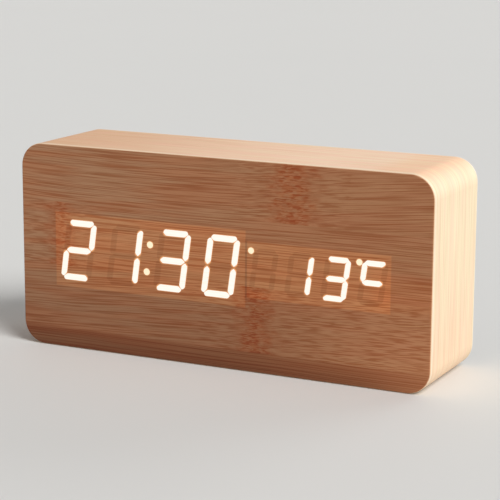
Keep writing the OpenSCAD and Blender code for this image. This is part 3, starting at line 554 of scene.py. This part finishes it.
boardLook = {
    "mask": tone(22, 84, 52), "run": tone(44, 118, 72), "runShare": 0.8, "runEdge": (0.16, 0.22),
    "pitch": 1.27, "block": 7.62,
    "pad": tone(206, 204, 196), "padPitch": 2.54, "padRadius": 0.55, "padEdge": 0.05, "padShare": 0.8,
    "cloudScale": 0.3, "rough": (0.3, 0.42), "depth": 0.03, "strength": 0.6,
}


def makeBoard(look):
    made = Finish("solder_mask")
    block = made.at((made.x / look["block"]).floor(), (made.z / look["block"]).floor())
    turned = made.chance(block).fade(0.49, 0.51)  # half of the blocks run the other way
    run = made.x * turned + made.z * (1 - turned)
    runs = 1 - abs((run / look["pitch"]).fract() - 0.5).fade(*look["runEdge"])
    column, row = made.x / look["padPitch"], made.z / look["padPitch"]
    offX, offZ = column.fract() - 0.5, row.fract() - 0.5
    away = (offX * offX + offZ * offZ).root() * look["padPitch"]
    disc = 1 - away.fade(look["padRadius"] - look["padEdge"], look["padRadius"] + look["padEdge"])
    drawn = made.chance(made.at(column.floor(), row.floor(), 5.0))
    pads = disc * drawn.fade(look["padShare"], look["padShare"] + 0.01)
    cloud = made.noise(made.spot, look["cloudScale"], 2)
    colour = made.mix(runs * look["runShare"] + cloud * (1 - look["runShare"]), look["mask"], look["run"])
    colour = made.mix(pads, colour, look["pad"])
    return made.paint({
        "Base Color": colour, "Roughness": blendRange(look["rough"], cloud), "Metallic": pads,
        "Normal": made.bump(runs + pads, look["depth"], look["strength"]),
    })


dress(makeBoard(boardLook), "display_pcb", "control_pcb")


# The flat cable: ribbed wires side by side, one edge striped

ribbonLook = {
    "grey": tone(150, 150, 152), "valleyPaintedShade": tone(112, 112, 114), "ribShare": 0.8, "pitch": 1.27,
    "stripe": tone(172, 50, 44), "stripeStart": 42.2, "stripeEdge": 0.05,
    "wearScale": 2.0, "rough": (0.42, 0.52), "depth": 0.15, "strength": 0.6,
}


def makeRibbon(look):
    made = Finish("ribbed_insulation")
    rib = (made.z * (2 * math.pi / look["pitch"])).cosine() * 0.5 + 0.5
    worn = made.noise(made.spot, look["wearScale"], 2)
    # painted shade: the valleys between the wires darker than the ribs
    colour = made.mix(rib * look["ribShare"] + worn * (1 - look["ribShare"]), look["valleyPaintedShade"], look["grey"])
    stripe = made.z.fade(look["stripeStart"] - look["stripeEdge"], look["stripeStart"] + look["stripeEdge"])
    colour = made.mix(stripe, colour, look["stripe"])
    return made.paint({
        "Base Color": colour, "Roughness": blendRange(look["rough"], worn),
        "Normal": made.bump(rib, look["depth"], look["strength"]),
    })


dress(makeRibbon(ribbonLook), "ribbon_cable")


# Cells: a plain wrapper with a paler band at the button end, bare metal at both ends

cellLook = {
    "wrap": tone(62, 84, 112), "shade": tone(52, 72, 98), "filmSize": (12, 1.5),
    "band": tone(190, 196, 202), "bandStart": 13.5, "seam": 0.2,
    "middle": -34.05, "first": 13.0, "pitch": 11.0, "wrapEnd": 23, "endFacing": 0.3,
    "rough": (0.24, 0.36), "coat": 0.3, "coatRough": 0.15, "depth": 0.02, "strength": 0.3,
}


def makeCellWrap(look):
    made = Finish("cell_wrapper")
    odd = ((made.z - look["first"]) / look["pitch"]).floor().remainder(2)
    end = (made.x - look["middle"]) * (1 - odd * 2)
    band = end.fade(look["bandStart"], look["bandStart"] + look["seam"])
    filmLength, filmWidth = look["filmSize"]
    film = made.noise(made.at(made.x / filmLength, made.y / filmWidth, made.z / filmWidth), detail=2)
    colour = made.mix(film, look["wrap"], look["shade"])
    colour = made.mix(band, colour, look["band"])
    return made.paint({
        "Base Color": colour, "Roughness": blendRange(look["rough"], film),
        "Coat Weight": look["coat"], "Coat Roughness": look["coatRough"],
        "Normal": made.bump(film, look["depth"], look["strength"]),
    })


def isCellEnd(spot, normal):
    return abs(normal.x) > cellLook["endFacing"] or abs(spot.x - cellLook["middle"]) > cellLook["wrapEnd"]


dress(makeCellWrap(cellLook), "battery_cells")
dressWhere(metal["tinned_plate"], "battery_cells", isCellEnd)

# Second finishes on small parts: chip legs, the capacitor's foot, sensor leads, the second lead

smallParts = {
    "controllerX": 46.0, "controllerHalf": 3.76, "driverZ": 34.3, "driverHalf": 1.96,
    "capacitorFoot": 7.79, "sensorHead": 11.75, "leadSplit": 35,
}
dressWhere(metal["tinned_plate"], "controller_chip",
           lambda spot, normal: abs(spot.x - smallParts["controllerX"]) > smallParts["controllerHalf"])
dressWhere(metal["tinned_plate"], "display_driver_chips",
           lambda spot, normal: abs(spot.z - smallParts["driverZ"]) > smallParts["driverHalf"])
dressWhere(moulded["moulded_epoxy"], "smoothing_capacitor",
           lambda spot, normal: spot.y > smallParts["capacitorFoot"])
dressWhere(metal["tinned_plate"], "temperature_sensor",
           lambda spot, normal: spot.y < smallParts["sensorHead"])
dressWhere(moulded["black_insulation"], "battery_leads",
           lambda spot, normal: spot.z < smallParts["leadSplit"])
print("boards, cable and cells dressed")


# Modelling helpers

tiny = 1e-6
roundPoints = 40


def deselect():
    bpy.ops.object.select_all(action="DESELECT")


def selectIn(piece, kind, test):
    # edit mode: selects the vertices, edges or faces whose points all pass the test
    mesh = bmesh.from_edit_mesh(piece.data)
    for part in (mesh.verts, mesh.edges, mesh.faces):
        for item in part:
            item.select = False
    for item in getattr(mesh, kind):
        points = [item] if kind == "verts" else item.verts
        if all(test(point.co) for point in points):
            item.select_set(True)
    mesh.select_flush_mode()
    bmesh.update_edit_mesh(piece.data)


def applyAll(piece):
    bpy.context.view_layer.objects.active = piece
    for modifier in list(piece.modifiers):
        bpy.ops.object.modifier_apply(modifier=modifier.name)


def addDisc(points, radius, turn):
    # an upright disc that faces the front at a turn of 90 and the back at -90
    deselect()
    bpy.ops.mesh.primitive_circle_add(vertices=points, radius=radius * mm, fill_type="NGON",
                                      rotation=(math.radians(turn), 0, 0))
    bpy.ops.object.transform_apply(location=False, rotation=True, scale=False)
    return bpy.context.object


def thicken(piece, thickness):
    skin = piece.modifiers.new("thickness", "SOLIDIFY")
    skin.thickness = thickness * mm
    skin.offset = -1
    applyAll(piece)


def putPoints(piece, place):
    for point in piece.data.vertices:
        point.co = place(point.co)
    return piece


def unitePieces(pieces):
    # one mesh of all pieces, with no walls left where two of them overlap
    whole = pieces[0]
    for piece in pieces[1:]:
        union = whole.modifiers.new("union", "BOOLEAN")
        union.operation = "UNION"
        union.object = piece
        applyAll(whole)
        bpy.data.objects.remove(piece)
    return whole


def settle(piece, name, material, body):
    piece.name = piece.data.name = name
    piece.data.materials.clear()
    piece.data.materials.append(material)
    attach(piece, body)


# Lit digits: thin patches of light on the veneer's face

lightPatch = {
    "face": -20.0, "proud": 0.03, "sunk": 0.03, "trim": 0.05, "rounding": 0.2, "bend": 4, "shoulder": 0.65,
    "wood": tone(120, 90, 60), "core": tone(242, 245, 239),
    "fibre": tone(241, 239, 224), "fibreSize": (7, 0.4), "fibreCut": (0.45, 0.75),
    "dot": tone(242, 235, 203), "dotEdge": (0, 0.1), "rough": 0.5, "specular": 0.25, "strength": 1.0,
}


def makeLitVeneer(look):
    made = Finish("light_through_veneer")
    fibres = made.patches(made.x, made.z, look["fibreSize"], 2).fade(*look["fibreCut"])
    shine = made.mix(fibres, look["core"], look["fibre"])
    fromDots = dotDistance(made, timeDisplay).atMost(dotDistance(made, tempDisplay))
    return made.paint({
        "Base Color": look["wood"], "Roughness": look["rough"], "Specular IOR Level": look["specular"],
        "Emission Color": made.mix(1 - fromDots.fade(*look["dotEdge"]), shine, look["dot"]),
        "Emission Strength": look["strength"],
    })


def outerSides(column, row, upright):
    # at a bar's two ends, the side on which it faces out of the digit, or 0
    if upright:
        return (-column, 0) if row < 0 else (0, -column)
    return row, row


def makeLightBar(length, thick, outer, spread, look):
    # a plane with its two ends drawn out to points, fuller on the digit's outside, and its corners rounded
    deselect()
    straight = (length - thick) * mm
    bpy.ops.mesh.primitive_plane_add(size=1, rotation=(math.radians(90), 0, 0))
    bar = bpy.context.object
    bar.scale = (straight, thick * mm, 1)
    bpy.ops.object.transform_apply(location=False, rotation=True, scale=True)
    bpy.ops.object.mode_set(mode="EDIT")
    for side, outwards, further in zip((-1, 1), outer, spread):
        end = side * straight / 2
        point = side * (thick / 2 + further) * mm
        bpy.ops.mesh.select_mode(type="EDGE")
        selectIn(bar, "edges", lambda spot: abs(spot.x - end) < tiny)
        bpy.ops.mesh.extrude_region_move(TRANSFORM_OT_translate={"value": (point, 0, 0)})
        bpy.ops.mesh.merge(type="CENTER")
        if outwards:
            bpy.ops.mesh.select_mode(type="VERT")
            selectIn(bar, "verts", lambda spot: abs(spot.x - end) < tiny and spot.z * outwards > 0)
            bpy.ops.transform.translate(value=(side * look["shoulder"] * thick / 2 * mm, 0, 0))
    bpy.ops.mesh.select_all(action="SELECT")
    bpy.ops.mesh.dissolve_limited(angle_limit=math.radians(1))
    bpy.ops.mesh.select_all(action="SELECT")
    bpy.ops.mesh.bevel(offset=look["rounding"] * thick * mm, segments=look["bend"], affect="VERTICES")
    bpy.ops.object.mode_set(mode="OBJECT")
    thicken(bar, look["proud"] + look["sunk"])
    return bar


def makeLightDot(size, look):
    dot = addDisc(roundPoints, size / 2, 90)
    thicken(dot, look["proud"] + look["sunk"])
    return dot


def makeDigits(display, name, material, look):
    trim = 2 * look["trim"]
    thick = display["bar"] - trim
    atCorner, elsewhere = display["spread"]
    depth = (look["face"] - look["proud"]) * mm
    lights = []
    for centre, letters in zip(digitCentres(display), display["lit"]):
        for letter in letters:
            column, row, upright = barPlaces[letter]
            spread = [atCorner if set(met) & set(letters) else elsewhere for met in barMeets[letter]]
            length = barLength(display, upright) - trim

            def place(spot):
                u, v = (-spot.z, spot.x) if upright else (spot.x, spot.z)
                u += column * display["width"] / 2 * mm
                v += row * display["height"] / 2 * mm
                return Vector((centre * mm + u + v * lean, depth + spot.y, display["z"] * mm + v))
            bar = makeLightBar(length, thick, outerSides(column, row, upright), spread, look)
            lights.append(putPoints(bar, place))
    for x, z in dotPlaces(display):
        dot = makeLightDot(display["dotSize"] - trim, look)
        lights.append(putPoints(dot, lambda spot: spot + Vector((x * mm, depth, z * mm))))
    settle(unitePieces(lights), name, material, "case")


litVeneer = makeLitVeneer(lightPatch)
makeDigits(timeDisplay, "time_light", litVeneer, lightPatch)
makeDigits(tempDisplay, "temp_light", litVeneer, lightPatch)
print("digits lit")


# Signs moulded on the keys: a ring, and arrowheads up and down

keySigns = {
    "x": 28.0, "mode": 46.0, "up": 35.0, "down": 24.0, "dish": 19.45, "rise": 0.2, "sunk": 0.1,
    "size": 1.5, "rounding": 0.25, "ringWall": 0.5, "edge": 0.06,
}


def raiseSign(sign, look, height):
    thicken(sign, look["rise"] + look["sunk"])
    edge = sign.modifiers.new("edge", "BEVEL")
    edge.width = look["edge"] * mm
    edge.segments = 2
    edge.limit_method = "ANGLE"
    applyAll(sign)
    shift = Vector((look["x"] * mm, (look["dish"] + look["rise"]) * mm, height * mm))
    sign.data.transform(Matrix.Translation(shift))


def makeArrow(look, height, turn):
    arrow = addDisc(3, look["size"], -90)
    bpy.ops.object.mode_set(mode="EDIT")
    bpy.ops.mesh.select_all(action="SELECT")
    bpy.ops.transform.rotate(value=turn, orient_axis="Y", center_override=(0, 0, 0))
    bpy.ops.mesh.bevel(offset=look["rounding"] * mm, segments=3, affect="VERTICES")
    bpy.ops.object.mode_set(mode="OBJECT")
    raiseSign(arrow, look, height)
    return arrow


def makeRing(look, height):
    ring = addDisc(roundPoints, look["size"], -90)
    bpy.ops.object.mode_set(mode="EDIT")
    bpy.ops.mesh.select_all(action="SELECT")
    bpy.ops.mesh.inset(thickness=look["ringWall"] * mm)
    bpy.ops.mesh.delete(type="FACE")
    bpy.ops.object.mode_set(mode="OBJECT")
    raiseSign(ring, look, height)
    return ring


signFinish = moulded["plunger_moulding"]
settle(makeRing(keySigns, keySigns["mode"]), "mode_sign", signFinish, "mode_key")
settle(makeArrow(keySigns, keySigns["up"], math.pi), "up_sign", signFinish, "up_key")
settle(makeArrow(keySigns, keySigns["down"], 0), "down_sign", signFinish, "down_key")
print("key signs made")


# Floor, light and camera

studio = {
    "floorTone": tone(226, 225, 222), "floorShade": 0.98, "floorCloud": 250, "floorRough": 0.7,
    "floorReach": 6.0, "floorPoints": 96, "floorDrop": 0.1, "skyLevel": 0.26, "backdropLevel": 0.62,
    "keyFrom": (0.65, -0.30, 0.70), "keyLevel": 0.78, "keySoftness": 30,
    "backFrom": (0.35, 0.90, 0.25), "backLevel": 0.3, "backSoftness": 40,
}


def makeFloor(look):
    made = Finish("pale_floor")
    cloud = made.noise(made.spot, 1 / look["floorCloud"], 2)
    pale = look["floorTone"]
    shade = tuple(part * look["floorShade"] for part in pale)
    material = made.paint({"Base Color": made.mix(cloud, pale, shade), "Roughness": look["floorRough"]})
    deselect()
    bpy.ops.mesh.primitive_circle_add(vertices=look["floorPoints"], radius=look["floorReach"],
                                      fill_type="NGON", location=(0, 0, -look["floorDrop"] * mm))
    floor = bpy.context.object
    floor.name = "floor"
    floor.data.materials.append(material)


def makeSun(name, origin, level, softness):
    # a level of 1 shows a colour as written on a face turned to the sun
    sun = bpy.data.lights.new(name, "SUN")
    sun.energy = level * math.pi
    sun.angle = math.radians(softness)
    lamp = bpy.data.objects.new(name, sun)
    lamp.rotation_euler = Vector(origin).to_track_quat("Z", "Y").to_euler()
    bpy.context.collection.objects.link(lamp)


def makeSky(look):
    # the backdrop's level is what the camera and reflections see, the sky's is what lights the clock
    world = bpy.data.worlds.new("studio_sky")
    bpy.context.scene.world = world
    world.use_nodes = True
    nodes, links = world.node_tree.nodes, world.node_tree.links
    lightPath = nodes.new("ShaderNodeLightPath")
    seen = nodes.new("ShaderNodeMath")
    seen.operation = "MAXIMUM"
    links.new(lightPath.outputs["Is Camera Ray"], seen.inputs[0])
    links.new(lightPath.outputs["Is Glossy Ray"], seen.inputs[1])
    backgrounds = [nodes["Background"], nodes.new("ShaderNodeBackground")]
    chosen = nodes.new("ShaderNodeMixShader")
    links.new(seen.outputs[0], chosen.inputs["Fac"])
    for background, level, socket in zip(backgrounds, (look["skyLevel"], look["backdropLevel"]), (1, 2)):
        background.inputs["Color"].default_value = (1, 1, 1, 1)
        background.inputs["Strength"].default_value = level
        links.new(background.outputs[0], chosen.inputs[socket])
    links.new(chosen.outputs[0], nodes["World Output"].inputs["Surface"])


makeFloor(studio)
makeSun("key_sun", studio["keyFrom"], studio["keyLevel"], studio["keySoftness"])
makeSun("back_sun", studio["backFrom"], studio["backLevel"], studio["backSoftness"])
makeSky(studio)

viewpoint = {
    "aim": (12.11, -20.0, 40.83), "distance": 581.3, "azimuth": 26.18, "elevation": 11.86, "roll": 0.32,
    "lens": 129.46, "sensor": 36, "clipStart": 10,
}


def makeCamera(look):
    turn, rise, roll = (math.radians(look[name]) for name in ("azimuth", "elevation", "roll"))
    back = Vector((math.sin(turn) * math.cos(rise), -math.cos(turn) * math.cos(rise), math.sin(rise)))
    right = Vector((math.cos(turn), math.sin(turn), 0))
    up = back.cross(right)
    rolledRight = right * math.cos(roll) + up * math.sin(roll)
    rolledUp = up * math.cos(roll) - right * math.sin(roll)
    camera = bpy.data.objects.new("photo_camera", bpy.data.cameras.new("photo_camera"))
    camera.data.lens = look["lens"]
    camera.data.sensor_width = look["sensor"]
    camera.data.clip_start = look["clipStart"] * mm
    spot = (Vector(look["aim"]) + back * look["distance"]) * mm
    turned = Matrix((rolledRight, rolledUp, back)).transposed().to_4x4()
    camera.matrix_world = Matrix.Translation(spot) @ turned
    bpy.context.collection.objects.link(camera)
    bpy.context.scene.camera = camera


makeCamera(viewpoint)
bpy.context.scene.view_settings.view_transform = "Standard"
print("studio lit")
